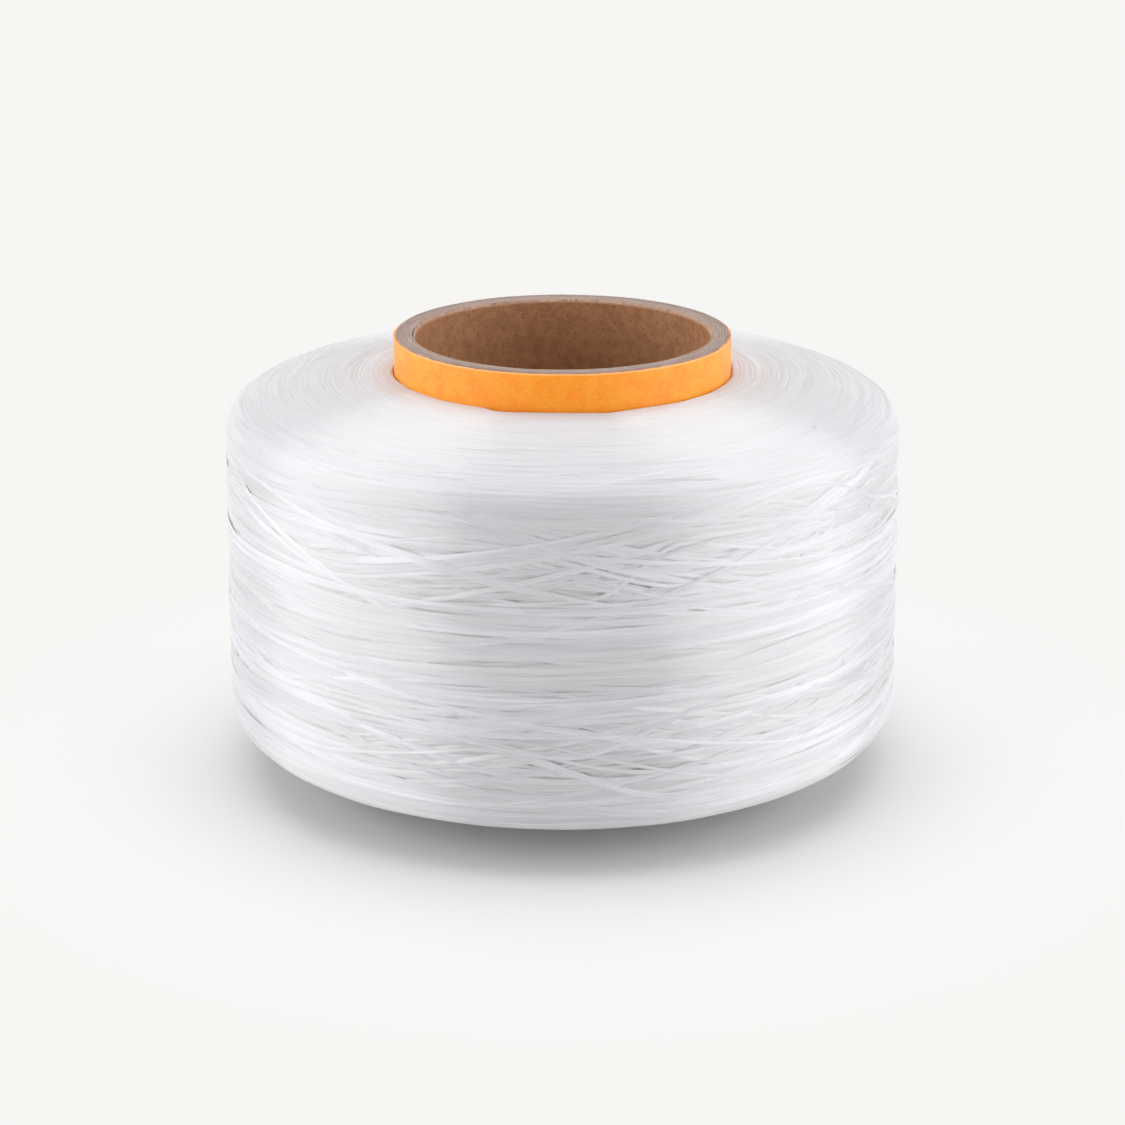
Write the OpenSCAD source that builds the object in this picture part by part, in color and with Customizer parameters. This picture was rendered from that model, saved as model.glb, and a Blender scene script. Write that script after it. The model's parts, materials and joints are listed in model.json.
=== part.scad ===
// Spool of waxed thread: a spiral-wound paperboard tube with a band of tape at its
// top end, and the thread cross-wound on it as a squat barrel.
// Millimetres. The tube stands on z = 0 and its axis is Z.

/* [Tube] */
// Bore of the paperboard tube
bore_d = 50.8; // [49:0.1:53]
// Length of the tube
tube_l = 76.2; // [72:0.1:84]
// Thickness of the smooth paper that lines the bore
liner_t = 0.38; // [0.36:0.02:0.5]
// Thickness of each board ply
board_t = 0.5; // [0.4:0.02:0.6]
// Thickness of the outer paper wrap
wrap_t = 0.2; // [0.16:0.01:0.3]
// Glue line between two plies
glue_t = 0.02; // [0.02:0.005:0.03]
// Break of the edges at each end of a ply
edge_break = 0.06; // [0.02:0.01:0.07]
// Break of the bore's two edges
bore_edge_break = 0.24; // [0.1:0.02:0.26]

/* [Tape band] */
// Width of the tape
tape_w = 12.7; // [11:0.1:19]
// Thickness of the tape
tape_t = 0.14; // [0.1:0.01:0.2]
// Full turns of tape round the tube
tape_turns = 3; // [1:1:4]
// Angle that the tape runs on past its last full turn
tape_lap_a = 16; // [4:4:60]
// Drop of the tape's upper edge below the tube's end
tape_drop = 0.3; // [0.1:0.1:1]
// Bearing of the tape's outer end, anticlockwise from +X
tape_end_a = -8; // [-90:1:90]

/* [Winding] */
// Bare tube left at each end of the winding
bare_end = 6.5; // [5:0.1:7]
// Largest radius at the upper shoulder
shoulder_r = 58.1; // [54:0.1:60]
// Largest radius at the lower shoulder
foot_r = 58.8; // [54:0.1:60]
// Height of the upper shoulder's widest ring
shoulder_z = 58.5; // [54:0.1:60]
// Height of the lower shoulder's widest ring
foot_z = 16.5; // [15:0.1:20]

/* [Outer turns] */
// Width of one wound thread
thread_d = 1.2; // [0.8:0.1:1.8]
// Turns in the outer layer
outer_loops = 24; // [16:1:24]
// Rings of points in each turn
loop_rings = 24; // [20:2:24]

/* [Hidden] */
$fn = 96;

kraft_brown = [0.50, 0.33, 0.22];
board_taupe = [0.66, 0.59, 0.55];
wrap_grey = [0.60, 0.54, 0.49];
tape_orange = [0.96, 0.60, 0.20];
thread_white = [0.95, 0.95, 0.96];
pack_white = [0.90, 0.90, 0.91];

bore_r = bore_d / 2;
ply_pitch = board_t + glue_t;
board_ply_count = 5;
first_board_r = bore_r + liner_t + glue_t;
wrap_r = first_board_r + board_ply_count * ply_pitch;
tube_r = wrap_r + wrap_t;

// The tape leaves a hair's gap between its turns and to the tube.
tape_pitch = tape_t + glue_t;
tape_in_r = tube_r + glue_t;
tape_run_a = 360 * tape_turns + tape_lap_a;
tape_out_r = tape_in_r + tape_pitch * tape_run_a / 360 + tape_t;
tape_z = tube_l - tape_drop - tape_w;
tape_step_a = 4;

// The thread follows straight chords, which dip towards the axis halfway along each
// one. Its rings stand out by half that dip, and the pack is smaller by the other half.
half_dip = (1 - cos(180 / loop_rings)) / 2;
thread_r = thread_d / 2;
layer_t = thread_d + foot_r * half_dip;
pack_seat_r = tape_out_r + glue_t;

// How square the two ends of the barrel are: 2 is round, larger is squarer.
dome_side_power = 1.42;
dome_top_power = 3.7;
foot_side_power = 4.7;
foot_base_power = 5.9;
arc_step_a = 5;

// ---------------------------------------------------------------- profile
// A quarter of a superellipse from [from_r, from_z] out to [to_r, to_z].
function quarter(from_r, from_z, to_r, to_z, r_power, z_power) =
    [for (a = [0 : arc_step_a : 90])
        [from_r + (to_r - from_r) * pow(sin(a), 2 / r_power),
         to_z + (from_z - to_z) * pow(cos(a), 2 / z_power)]];

function reversed(list) = [for (i = [len(list) - 1 : -1 : 0]) list[i]];

// Half-section of the barrel from the tube at the top, round to the tube below,
// drawn `inset` inside the winding's own outline.
function barrel(inset, seat_top, seat_foot) = concat(
    quarter(seat_top, tube_l - bare_end - inset, shoulder_r - inset, shoulder_z,
            dome_side_power, dome_top_power),
    reversed(quarter(seat_foot, bare_end + inset, foot_r - inset, foot_z,
                     foot_side_power, foot_base_power)));

// Distance run along a list of points, one entry for each point.
function run_length(p) =
    [for (i = 0, s = 0; i < len(p);
          s = s + (i + 1 < len(p) ? norm(p[i + 1] - p[i]) : 0), i = i + 1) s];

// ---------------------------------------------------------------- tube
module ply(inner_r, thickness, inner_break) {
    rotate_extrude()
        polygon([
            [inner_r + inner_break, 0],
            [inner_r + thickness - edge_break, 0],
            [inner_r + thickness, edge_break],
            [inner_r + thickness, tube_l - edge_break],
            [inner_r + thickness - edge_break, tube_l],
            [inner_r + inner_break, tube_l],
            [inner_r, tube_l - inner_break],
            [inner_r, inner_break]]);
}

module liner_ply() {
    color(kraft_brown) ply(bore_r, liner_t, bore_edge_break);
}

module board_ply(number) {
    color(board_taupe)
        ply(first_board_r + (number - 1) * ply_pitch, board_t, edge_break);
}

module wrap_ply() {
    color(wrap_grey) ply(wrap_r, wrap_t, edge_break);
}

// One strip of tape that winds outwards, each turn on the one before.
module tape_band() {
    angles = [for (a = [0 : tape_step_a : tape_run_a]) a];
    function at(a, lift) =
        let (r = tape_in_r + tape_pitch * a / 360 + lift,
             bearing = a - tape_run_a + tape_end_a)
        r * [cos(bearing), sin(bearing)];
    color(tape_orange)
        translate([0, 0, tape_z])
            linear_extrude(tape_w)
                polygon(concat([for (a = angles) at(a, tape_t)],
                               [for (a = reversed(angles)) at(a, 0)]));
}

// ---------------------------------------------------------------- winding
// The wound thread under the outer layer, seated on the tube and on the tape.
module thread_pack() {
    tube_seat_r = tube_r + glue_t;
    step_z = tape_z - glue_t;
    color(pack_white)
        rotate_extrude()
            polygon(concat(barrel(layer_t, pack_seat_r, tube_seat_r),
                           [[tube_seat_r, step_z], [pack_seat_r, step_z]]));
}

// The line that the outer thread's centre follows across the barrel, as distance
// run from the tape to [radius, height].
lay_line = barrel(thread_r, tape_out_r, tube_r);
lay_run = run_length(lay_line);
lay_end = lay_run[len(lay_run) - 1];
lay_r = [for (i = [0 : len(lay_line) - 1]) [lay_run[i], lay_line[i][0]]];
lay_z = [for (i = [0 : len(lay_line) - 1]) [lay_run[i], lay_line[i][1]]];

// Each end leaves the wall square for one thread width, then bends round.
end_run = thread_d;
bend_r = 1.5 * thread_d;
bend_steps = 5;
helix_from = end_run + bend_r;
helix_to = lay_end - end_run - bend_r;
helix_rings = outer_loops * loop_rings;
start_a = 60;
first_turn_a = start_a + bend_r / lookup(helix_from, lay_r) * 180 / PI;
last_turn_a = first_turn_a + 360 * outer_loops;

// Each place on the thread is [bearing, distance run].
start_lay = concat([[start_a, 0]],
    [for (i = [0 : bend_steps - 1])
        let (a = 90 * i / bend_steps, run = end_run + bend_r * sin(a))
        [start_a + bend_r * (1 - cos(a)) / lookup(run, lay_r) * 180 / PI, run]]);
turns_lay = [for (i = [0 : helix_rings])
    [first_turn_a + 360 * i / loop_rings,
     helix_from + (helix_to - helix_from) * i / helix_rings]];
end_lay = concat(
    [for (i = [1 : bend_steps])
        let (a = 90 * i / bend_steps, run = helix_to + bend_r * (1 - cos(a)))
        [last_turn_a + bend_r * sin(a) / lookup(run, lay_r) * 180 / PI, run]],
    [[last_turn_a + bend_r / lookup(lay_end, lay_r) * 180 / PI, lay_end]]);
thread_lay = concat(start_lay, turns_lay, end_lay);

function on_barrel(lay) =
    let (r = lookup(lay[1], lay_r) * (1 + half_dip), z = lookup(lay[1], lay_z))
    [r * cos(lay[0]), r * sin(lay[0]), z];

// Outward normal of the barrel under a place on the thread.
function barrel_normal(lay) =
    let (near = 0.4,
         a = max(lay[1] - near, 0), b = min(lay[1] + near, lay_end),
         dr = lookup(b, lay_r) - lookup(a, lay_r),
         dz = lookup(b, lay_z) - lookup(a, lay_z),
         n = [-dz, dr] / norm([dr, dz]))
    [n[0] * cos(lay[0]), n[0] * sin(lay[0]), n[1]];

function unit(v) = v / norm(v);

thread_line = [for (lay = thread_lay) on_barrel(lay)];
last_ring = len(thread_line) - 1;
tube_sides = 6;

// Corners of one ring of the thread, square to the thread there.
function ring(i) =
    let (along = unit(thread_line[min(i + 1, last_ring)] - thread_line[max(i - 1, 0)]),
         up = barrel_normal(thread_lay[i]),
         across = unit(cross(along, up)),
         rise = cross(across, along))
    [for (k = [0 : tube_sides - 1])
        thread_line[i] + thread_r * (cos(60 * k) * across + sin(60 * k) * rise)];

module outer_turns() {
    corners = [for (i = [0 : last_ring]) each ring(i)];
    wall = [for (i = [0 : last_ring - 1], k = [0 : tube_sides - 1])
        let (a = i * tube_sides + k,
             b = i * tube_sides + (k + 1) % tube_sides)
        each [[a, b, b + tube_sides], [a, b + tube_sides, a + tube_sides]]];
    first_cap = [for (k = [1 : tube_sides - 2]) [0, k + 1, k]];
    last_cap = [for (k = [1 : tube_sides - 2])
        [0, k, k + 1] + last_ring * tube_sides * [1, 1, 1]];
    color(thread_white) polyhedron(corners, concat(wall, first_cap, last_cap));
}

// Least gap of the thread to itself, between points over half a turn apart.
half_turn = loop_rings / 2;
reach = 2 * loop_rings;
least_gap = min([for (i = [0 : last_ring - half_turn],
                      j = [i + half_turn : min(i + reach, last_ring)])
    norm(thread_line[i] - thread_line[j])]) - thread_d;
echo(least_gap_mm = least_gap, length_mm = run_length(thread_line)[last_ring]);

liner_ply();
board_ply(1);  // board_ply_1
board_ply(2);  // board_ply_2
board_ply(3);  // board_ply_3
board_ply(4);  // board_ply_4
board_ply(5);  // board_ply_5
wrap_ply();
tape_band();
thread_pack();
outer_turns();
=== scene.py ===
"""Looks of a waxed thread spool: paperboard tube, tape band and wound thread.

Lengths in this script are millimetres until a mesh is made, which is in metres.
"""

import json
import math

import bpy
import numpy as np
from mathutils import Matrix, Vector


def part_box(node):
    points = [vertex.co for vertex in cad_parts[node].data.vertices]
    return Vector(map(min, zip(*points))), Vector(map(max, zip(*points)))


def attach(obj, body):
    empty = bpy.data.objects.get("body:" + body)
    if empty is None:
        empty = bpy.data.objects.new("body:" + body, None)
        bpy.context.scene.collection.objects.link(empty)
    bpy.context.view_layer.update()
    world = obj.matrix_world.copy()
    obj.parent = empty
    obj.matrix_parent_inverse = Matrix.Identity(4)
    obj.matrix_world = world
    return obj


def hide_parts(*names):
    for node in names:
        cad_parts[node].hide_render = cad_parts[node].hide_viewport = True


MM = 0.001

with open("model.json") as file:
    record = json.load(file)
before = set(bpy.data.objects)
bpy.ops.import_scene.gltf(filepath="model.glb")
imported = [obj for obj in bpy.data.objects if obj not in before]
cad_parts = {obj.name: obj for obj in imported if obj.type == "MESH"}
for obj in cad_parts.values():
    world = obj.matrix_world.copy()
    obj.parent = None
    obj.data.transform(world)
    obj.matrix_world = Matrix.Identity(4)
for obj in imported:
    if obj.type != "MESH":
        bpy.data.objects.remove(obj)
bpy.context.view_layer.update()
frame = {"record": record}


# ---------------- sizes
def outer_radius(node):
    """Radius of a node that is round the axis, in mm."""
    low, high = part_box(node)
    return (high.x - low.x) / 2 / MM


def node_z(node):
    """Lowest and highest z of a node, in mm."""
    low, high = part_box(node)
    return low.z / MM, high.z / MM


BORE_R = frame["record"]["mounts"][0]["dims"]["r_mm"]
WRAP_R = outer_radius("wrap_ply")
TAPE_R = outer_radius("tape_band")
TUBE_L = node_z("wrap_ply")[1]
TAPE_LOW, TAPE_TOP = node_z("tape_band")
GLUE_T = 0.02  # glue line between two plies, or two turns of tape

# The winding's outline, as in the CAD: a dome down to the shoulder's widest ring, a
# straight side, and a foot below its own widest ring. Each end is a quarter of a
# superellipse, with one power for the radius and one for the height.
WIND_LOW = 6.5
WIND_TOP = TUBE_L - WIND_LOW
SHOULDER_R = 58.1
FOOT_R = 58.8
SHOULDER_Z = 58.5
FOOT_Z = 16.5
DOME_POWERS = (1.42, 3.7)
FOOT_POWERS = (4.7, 5.9)


# ---------------- meshes
def make_object(name, verts, faces, replaced=()):
    """A smooth mesh object from vertices in mm and quads, riding on the root."""
    mesh = bpy.data.meshes.new(name)
    verts = np.asarray(verts, np.float32) * MM
    faces = np.asarray(faces, np.int32)
    mesh.vertices.add(len(verts))
    mesh.vertices.foreach_set("co", verts.ravel())
    mesh.loops.add(faces.size)
    mesh.loops.foreach_set("vertex_index", faces.ravel())
    mesh.polygons.add(len(faces))
    mesh.polygons.foreach_set("loop_start", np.arange(0, faces.size, 4, dtype=np.int32))
    mesh.polygons.foreach_set("use_smooth", np.full(len(faces), True))
    mesh.update(calc_edges=True)
    obj = bpy.data.objects.new(name, mesh)
    bpy.context.scene.collection.objects.link(obj)
    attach(obj, "root")
    if replaced:
        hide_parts(*replaced)
    return obj


def grid_faces(rows, cols, wrap_cols=True, wrap_rows=False):
    """Quads of a grid of points that is stored row by row."""
    row = np.arange(rows if wrap_rows else rows - 1)
    col = np.arange(cols if wrap_cols else cols - 1)
    row, col = np.meshgrid(row, col, indexing="ij")
    next_row = (row + 1) % rows
    next_col = (col + 1) % cols
    return np.stack([row * cols + col, row * cols + next_col,
                     next_row * cols + next_col, next_row * cols + col],
                    axis=-1).reshape(-1, 4)


def ring_points(r, bearing, z):
    """Points at these distances from the axis, bearings and heights."""
    return np.stack([r * np.cos(bearing), r * np.sin(bearing), z], axis=-1)


def waves(x, periods, rng):
    """Smooth noise of about unit size: sines of the given periods, at random phases."""
    total = np.zeros_like(x, dtype=float)
    for period in periods:
        total += np.sin(2 * math.pi * x / period + rng.uniform(0, 2 * math.pi))
    return total / math.sqrt(len(periods) / 2)


def smooth(values, width):
    """The values averaged over so many neighbours, an odd number."""
    pad = width // 2
    kernel = np.hanning(width + 2)[1:-1]
    kernel /= kernel.sum()
    return np.convolve(np.pad(values, pad, mode="edge"), kernel, mode="valid")


# ---------------- winding outline
def quarter(from_r, from_z, to_r, to_z, powers):
    """A quarter of a superellipse, from one place out to the other."""
    a = np.linspace(0, math.pi / 2, 400)
    r = from_r + (to_r - from_r) * np.sin(a) ** (2 / powers[0])
    z = to_z + (from_z - to_z) * np.cos(a) ** (2 / powers[1])
    return np.stack([r, z], axis=1)


class Outline:
    """The winding's half-section, from the tape round to the tube's lower end.

    Places on it are given by s, the distance run. There r and z are its radius and
    height, n_r and n_z its outward normal, and bend its curvature.
    """

    STEP = 0.15  # from one of its places to the next

    def __init__(self):
        dome = quarter(TAPE_R, WIND_TOP, SHOULDER_R, SHOULDER_Z, DOME_POWERS)
        foot = quarter(WRAP_R, WIND_LOW, FOOT_R, FOOT_Z, FOOT_POWERS)[::-1]
        line = np.concatenate([dome, foot])
        run = np.concatenate([[0], np.cumsum(np.linalg.norm(np.diff(line, axis=0), axis=1))])
        self.length = run[-1]
        self.cells = int(self.length / self.STEP)
        self.s = np.linspace(0, self.length, self.cells)
        self.r = np.interp(self.s, run, line[:, 0])
        self.z = np.interp(self.s, run, line[:, 1])
        dr, dz = np.gradient(self.r), np.gradient(self.z)
        size = np.hypot(dr, dz)
        self.n_r = smooth(-dz / size, 9)
        self.n_z = smooth(dr / size, 9)
        turn = np.gradient(np.unwrap(np.arctan2(self.n_z, self.n_r)), self.s)
        self.bend = smooth(np.abs(turn), 9)

    def at(self, s, name):
        return np.interp(s, self.s, getattr(self, name))

    def s_of_z(self, z):
        """Distance run to a height on the side wall."""
        wall = (self.s > 0.25 * self.length) & (self.s < 0.75 * self.length)
        return float(np.interp(-z, -self.z[wall], self.s[wall]))

    def s_of_dome_r(self, r):
        """Distance run to a radius on the dome."""
        dome = self.s < 0.3 * self.length
        return float(np.interp(r, self.r[dome], self.s[dome]))


OUTLINE = Outline()


# ---------------- the thread's route
STEPS = 180  # points in one turn
EDGE = 0.5  # from the outline's ends to where the turns start and stop
LEAST_EDGE = 0.35  # and the nearest that unsteady ones come
STEEPNESS = 0.3  # slope at which the thread crosses from zone to zone
UNSTEADY = 0.11  # how far the thread wanders from its route


class Route:
    """Where the thread goes: the distance run along the outline, STEPS times a turn."""

    def __init__(self, s, rng):
        self.s = [np.array([s])]
        self.rng = rng
        self.covered_points = 0  # those laid before the layers that show
        self.given_widths = []  # (first point, end point, width)

    @property
    def here(self):
        return self.s[-1][-1]

    def laid(self):
        """How many points are laid so far."""
        return sum(len(part) for part in self.s)

    def spiral(self, to_s, pitch, sway, sway_per_turn=1.0):
        """Even turns a pitch apart from here to to_s, swaying to and fro by sway."""
        count = max(int(abs(to_s - self.here) / pitch * STEPS), STEPS // 4)
        t = np.arange(1, count + 1)
        line = self.here + (to_s - self.here) * t / count
        turns = t / STEPS
        ease = np.minimum(1, np.minimum(turns, (count - t) / STEPS) / 0.4)
        phase = self.rng.uniform(0, 2 * math.pi)
        beat = 1 + 0.35 * waves(turns, (5.3, 9.1), self.rng)
        line += ease * sway * beat * np.sin(2 * math.pi * sway_per_turn * turns + phase)
        self.s.append(line)

    def cross(self, to_s):
        """Steeply over to another zone."""
        arc = abs(to_s - self.here) / STEEPNESS
        count = max(int(arc / (2 * math.pi * FOOT_R) * STEPS), 4)
        t = np.arange(1, count + 1) / count
        self.s.append(self.here + (to_s - self.here) * (t * t * (3 - 2 * t)))

    def cover(self):
        """Marks what is laid so far as the layers that are mostly covered."""
        self.covered_points = self.laid()

    def strand(self, ends, width):
        """On to the first end and straight to the second, which is as wide as given."""
        for bearing, z in (ends[:2], ends[2:]):
            first = self.laid()
            now = (first - 1) * 360 / STEPS
            count = max(round(((bearing - now) % 360) * STEPS / 360), 2)
            to_s = OUTLINE.s_of_z(z)
            t = np.arange(1, count + 1) / count
            self.s.append(self.here + (to_s - self.here) * t)
        self.given_widths.append((first, self.laid(), width))

    def zigzag(self, centre, reach, spread, turns, per_turn):
        """So many waves per turn about centre, reach to each side, give or take spread."""
        self.cross(centre)
        count = int(turns * STEPS)
        phase = 2 * math.pi * per_turn * np.arange(1, count + 1) / STEPS
        swings = int(phase[-1] / math.pi) + 2
        reaches = reach + spread * self.rng.uniform(-1, 1, swings)
        size = reaches[(phase / math.pi).astype(int)]
        self.s.append(centre + size * np.sin(phase))

    def finish(self):
        """The whole route as bearing and distance run, with the hand's unsteadiness."""
        s = smooth(np.concatenate(self.s), 9)
        turn = np.arange(len(s)) / STEPS
        s = s + UNSTEADY * waves(turn, (0.53, 0.87, 1.43, 2.9), self.rng)
        return turn * 2 * math.pi, s


# Bearings at which each turn bends as it passes the tape; between them it runs straight.
KINKS = (-172, -149, -131, -112, -71, -48, -36, -15, 6, 29, 62, 98, 131, 160)
KINK_SPREAD = 1.3  # how far a turn's own kinks are from these, in degrees
CHORDS_REACH = 9  # how far from the tape the turns run straight
CHORDS_SHARE = 0.75  # how much of a chord's straightness shows


def chords(bearing, s, rng):
    """Near the tape the thread runs straight from kink to kink, not round a circle."""
    turns = int(bearing[-1] / (2 * math.pi)) + 2
    ends = (np.radians(KINKS)[None] + 2 * math.pi * np.arange(turns)[:, None]
            + np.radians(rng.normal(0, KINK_SPREAD, (turns, len(KINKS))))).ravel()
    chord = np.clip(np.searchsorted(ends, bearing, side="right") - 1, 0, len(ends) - 2)
    middle = (ends[chord] + ends[chord + 1]) / 2
    bulge = OUTLINE.at(s, "r") * (1 / np.cos(np.clip(bearing - middle, -0.5, 0.5)) - 1)
    near = np.clip(1 - (s - EDGE) / CHORDS_REACH, 0, 1) * (s < OUTLINE.length / 2)
    return s + CHORDS_SHARE * smooth(bulge * near, 5)


# Strands that stand out, as bearing and height of both their ends. On the upper crossing
# some fall to the right, others rise over them, and thin ones lie between these.
FALLING = [(-99, z + 5.2, -57, z - 6.6) for z in np.arange(55.8, 47.4, -0.84)]
RISING = [(-128, 47.2 + k, -52, 62.6 + k) for k in (0.0, 0.85, 1.75, 2.7)]
LONG_RISE = (-128, 41.8, -50, 62.4)
BROAD_RISE = (-84, 44.9, -38, 60.0)
STEEP_RISE = (-88, 45.2, -36, 61.8)
LONG_FALL = (-106, 57.2, -76, 47.8)
THIN = [
    (-141, 60.5, -104, 50.3), (-136, 57.4, -101, 47.9), (-123, 47.2, -84, 52.0),
    (-131, 55.0, -97, 46.4), (-117, 52.6, -78, 57.6), (-126, 53.9, -106, 48.6),
    (-96, 53.4, -70, 46.2), (-112, 49.8, -76, 54.6), (-91, 55.2, -52, 46.6),
    (-84, 56.5, -48, 48.4), (-120, 45.6, -79, 47.9), (-77, 57.3, -44, 50.2),
    (-109, 60.0, -79, 52.1), (-101, 47.6, -69, 55.9), (-131, 50.1, -97, 55.7),
    (-72, 48.5, -44, 55.2)]
# On the lower crossing they go both ways.
LOW_CROSSING = [
    (-130, 25.2, -102, 17.2), (-112, 18.7, -74, 27.8), (-88, 26.7, -62, 17.2),
    (-109, 23.2, -70, 20.6), (-118, 15.9, -84, 23.0), (-96, 13.0, -52, 17.3),
    (-104, 17.6, -78, 11.2), (-79, 19.7, -46, 27.0), (-140, 27.0, -108, 20.5),
    (-95, 17.6, -66, 18.1)]
LOW_THIN = [
    (-128, 21.5, -96, 13.8), (-118, 14.6, -82, 20.9), (-109, 25.9, -78, 18.2),
    (-101, 12.4, -70, 18.9), (-94, 23.9, -64, 15.4), (-88, 14.9, -55, 21.6),
    (-82, 25.3, -50, 18.9), (-132, 16.9, -100, 23.2), (-74, 13.2, -47, 19.8),
    (-121, 27.2, -89, 21.1)]


def lay_route():
    """The whole route: covered layers first, and the strands that stand out last."""
    rng = np.random.default_rng(21)
    last = OUTLINE.length - EDGE
    dome_end = OUTLINE.s_of_dome_r(56.5)
    upper = OUTLINE.s_of_z(53)
    band_top, band_low = OUTLINE.s_of_z(46), OUTLINE.s_of_z(29)
    lower = OUTLINE.s_of_z(23.5)
    foot = OUTLINE.s_of_z(18)
    route = Route(EDGE, rng)
    # whole layers, so that nothing under them shows
    route.spiral(dome_end, 0.78, 0.15)
    route.cross(last)
    route.spiral(foot, 0.80, 0.15)
    route.cross(band_low)
    route.spiral(band_top, 0.80, 0.4)
    # a little over 5 waves in 4 turns, or 4 in 3, so that each lies beside the one before
    route.zigzag(upper, 15.5, 2.5, 124, 1.25 + 0.00205)
    route.zigzag(lower, 11.0, 2.0, 88, 4 / 3 + 0.0039)
    route.cover()
    # the crossings that show, ever flatter
    route.zigzag(upper, 15.0, 3.0, 30, 1.25 - 0.0031)
    route.zigzag(lower, 11.0, 2.5, 24, 4 / 3 - 0.0045)
    route.zigzag(lower, 6.5, 2.5, 10, 1.17)
    route.zigzag(upper, 8.5, 3.0, 14, 1.13)
    # closing turns between the crossings
    route.cross(EDGE)
    route.spiral(dome_end + 1, 0.80, 0.25)
    route.spiral(EDGE, 0.80, 0.35)
    route.spiral(dome_end + 3, 0.80, 0.5)
    route.spiral(OUTLINE.s_of_z(55.5), 1.5, 1.6, 1.09)
    route.spiral(dome_end, 1.9, 1.9, 0.91)
    route.cross(foot + 1)
    route.spiral(last, 0.95, 0.5)
    route.spiral(foot + 2, 1.3, 0.9)
    route.spiral(band_low - 2, 3.2, 1.5, 1.09)
    route.spiral(band_top, 1.1, 2.2, 1.07)
    for ends in FALLING:
        route.strand(ends, width=0.80)
    route.cross(band_top)
    route.spiral(band_low, 1.1, 2.6, 0.93)
    route.strand(LONG_FALL, width=0.85)
    route.strand(BROAD_RISE, width=1.75)
    route.strand(STEEP_RISE, width=0.8)
    for ends in THIN:
        route.strand(ends, width=0.58)
    for ends in RISING:
        route.strand(ends, width=0.85)
    route.strand(LONG_RISE, width=0.95)
    route.zigzag(upper, 15.5, 3.0, 3, 1.21)
    route.zigzag(upper + 1, 9.5, 3.0, 4, 1.13)
    route.zigzag(lower, 11.5, 2.0, 5, 1.29)
    route.zigzag(lower, 8.0, 2.5, 8, 1.16)
    for ends in LOW_CROSSING:
        route.strand(ends, width=0.9)
    for ends in LOW_THIN:
        route.strand(ends, width=0.58)
    route.cross(band_low)
    route.spiral(band_top + 0.5, 1.5, 2.0, 1.03)
    route.cross(last)
    bearing, s = route.finish()
    s = chords(bearing, s, rng)
    return bearing, np.clip(s, LEAST_EDGE, OUTLINE.length - LEAST_EDGE), route, rng


# ---------------- laying it
class Ground:
    """Height of the laid thread, on a grid of bearing and distance run."""

    COLS = 5 * STEPS

    def __init__(self):
        self.h = np.zeros((OUTLINE.cells, self.COLS), np.float32)

    def index(self, bearing, s):
        """Row and column of the grid at a place."""
        col = np.rint(bearing / (2 * math.pi) * self.COLS).astype(int) % self.COLS
        row = np.clip((s / OUTLINE.STEP).astype(int), 0, OUTLINE.cells - 1)
        return row, col

    def read(self, bearing, s):
        return self.h[self.index(bearing, s)]

    def raise_to(self, bearing, s, height):
        np.maximum.at(self.h, self.index(bearing, s), height)


def taut(run, support, bend, start):
    """Height of a tight thread over the supports, on ground that curves away by bend.

    On flattened ground it follows the upper convex hull of the supports.
    """
    step = np.diff(run)
    slope = np.concatenate([[0], np.cumsum((bend[1:] + bend[:-1]) / 2 * step)])
    fall = np.concatenate([[0], np.cumsum((slope[1:] + slope[:-1]) / 2 * step)])
    y = support - fall
    y[0] = max(start, support[0])
    hull = []
    xs, ys = run.tolist(), y.tolist()
    for i in range(len(xs)):
        while len(hull) > 1:
            a, b = hull[-2], hull[-1]
            if (ys[b] - ys[a]) * (xs[i] - xs[b]) > (ys[i] - ys[b]) * (xs[b] - xs[a]):
                break
            hull.pop()
        hull.append(i)
    return np.interp(run, run[hull], y[hull]) + fall


# Share of the thread's thickness that is kept, from distance run to distance run: the
# turns on the dome lie side by side, and the crossings stand out.
RELIEF = [(OUTLINE.s_of_dome_r(53), 0.22), (OUTLINE.s_of_z(57), 0.65), (OUTLINE.s_of_z(53), 1.1),
          (OUTLINE.s_of_z(46), 1.1), (OUTLINE.s_of_z(42), 0.68), (OUTLINE.s_of_z(32), 0.68),
          (OUTLINE.s_of_z(27), 1.1), (OUTLINE.s_of_z(17), 1.1), (OUTLINE.s_of_z(12), 0.8)]
LOOSEST_BEND = 1 / 35  # the pull of later turns, where the ground is flat
PRESSED = 0.6  # share of its thickness that a crossed thread keeps
HIGHEST_BRIDGE = 0.26  # how far later turns let a thread stand off the ground
SINK = 0.02  # how far a thread sinks into what carries it

WIDTH = 0.88  # of the thread, in most places
NARROWEST, WIDEST = 0.45, 1.8
LEAST_COVERED = 0.92  # least width in the covered layers, so that they close
THICKNESS = 0.13  # where it is WIDTH wide: the wider, the thinner
THINNEST, THICKEST = 0.08, 0.17

PROBES = np.array([-0.42, -0.22, 0.0, 0.22, 0.42])  # where it feels for the ground, in widths
PROBES_OUT = 1.28  # how far the outer four are from the middle, summed
CROWN_AT = np.linspace(-0.5, 0.5, 9)  # and where it raises the ground
CROWN = np.sqrt(1 - (2 * CROWN_AT * 0.93) ** 2)  # height of the rounded top there
READ, RAISE = 4, 5  # places to a step at which it feels, and at which it raises
AHEAD = 30  # how many points of the next turn each turn looks at


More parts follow.
